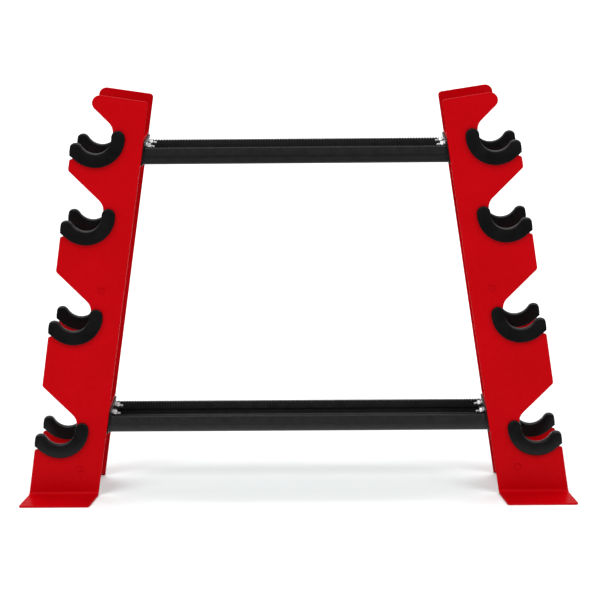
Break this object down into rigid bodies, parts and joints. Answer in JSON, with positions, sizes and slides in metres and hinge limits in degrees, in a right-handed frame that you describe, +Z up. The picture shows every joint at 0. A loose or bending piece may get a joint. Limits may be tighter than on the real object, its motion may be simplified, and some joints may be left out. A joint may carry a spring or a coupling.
{
  "type": "dumbbell rack",
  "caption": "Free-standing rack of two leaning sheet-steel towers with stepped rubber-lined seats, joined by two open channel beams.",
  "frame": {"origin": "centre of the rack's footprint, on the floor under its feet", "axes": "+X to the right along the beams, +Y to the back, +Z up"},
  "size_m": [0.8384, 0.22, 0.6126],
  "materials": {
    "red_powder_coat": "semi-gloss powder coat",
    "black_powder_coat": "satin powder coat",
    "cradle_rubber": "smooth moulded rubber, satin",
    "trim_rubber": "ribbed extruded rubber, matt",
    "zinc_plate": "bright zinc plate"
  },
  "bodies": {
    "root": {"left_front_upright": "red_powder_coat", "left_front_cradle_1": "cradle_rubber", "left_front_cradle_2": "cradle_rubber", "left_front_cradle_3": "cradle_rubber", "left_front_cradle_4": "cradle_rubber", "left_rear_upright": "red_powder_coat", "left_rear_cradle_1": "cradle_rubber", "left_rear_cradle_2": "cradle_rubber", "left_rear_cradle_3": "cradle_rubber", "left_rear_cradle_4": "cradle_rubber", "left_lower_bracket": "red_powder_coat", "left_lower_end_plate": "black_powder_coat", "left_lower_front_bolt": "zinc_plate", "left_lower_front_washer": "zinc_plate", "left_lower_front_nut": "zinc_plate", "left_lower_rear_bolt": "zinc_plate", "left_lower_rear_washer": "zinc_plate", "left_lower_rear_nut": "zinc_plate", "left_upper_bracket": "red_powder_coat", "left_upper_end_plate": "black_powder_coat", "left_upper_front_bolt": "zinc_plate", "left_upper_front_washer": "zinc_plate", "left_upper_front_nut": "zinc_plate", "left_upper_rear_bolt": "zinc_plate", "left_upper_rear_washer": "zinc_plate", "left_upper_rear_nut": "zinc_plate", "right_front_upright": "red_powder_coat", "right_front_cradle_1": "cradle_rubber", "right_front_cradle_2": "cradle_rubber", "right_front_cradle_3": "cradle_rubber", "right_front_cradle_4": "cradle_rubber", "right_rear_upright": "red_powder_coat", "right_rear_cradle_1": "cradle_rubber", "right_rear_cradle_2": "cradle_rubber", "right_rear_cradle_3": "cradle_rubber", "right_rear_cradle_4": "cradle_rubber", "right_lower_bracket": "red_powder_coat", "right_lower_end_plate": "black_powder_coat", "right_lower_front_bolt": "zinc_plate", "right_lower_front_washer": "zinc_plate", "right_lower_front_nut": "zinc_plate", "right_lower_rear_bolt": "zinc_plate", "right_lower_rear_washer": "zinc_plate", "right_lower_rear_nut": "zinc_plate", "right_upper_bracket": "red_powder_coat", "right_upper_end_plate": "black_powder_coat", "right_upper_front_bolt": "zinc_plate", "right_upper_front_washer": "zinc_plate", "right_upper_front_nut": "zinc_plate", "right_upper_rear_bolt": "zinc_plate", "right_upper_rear_washer": "zinc_plate", "right_upper_rear_nut": "zinc_plate", "lower_beam": "black_powder_coat", "lower_front_trim": "trim_rubber", "lower_rear_trim": "trim_rubber", "upper_beam": "black_powder_coat", "upper_front_trim": "trim_rubber", "upper_rear_trim": "trim_rubber"}
  },
  "joints": []
}
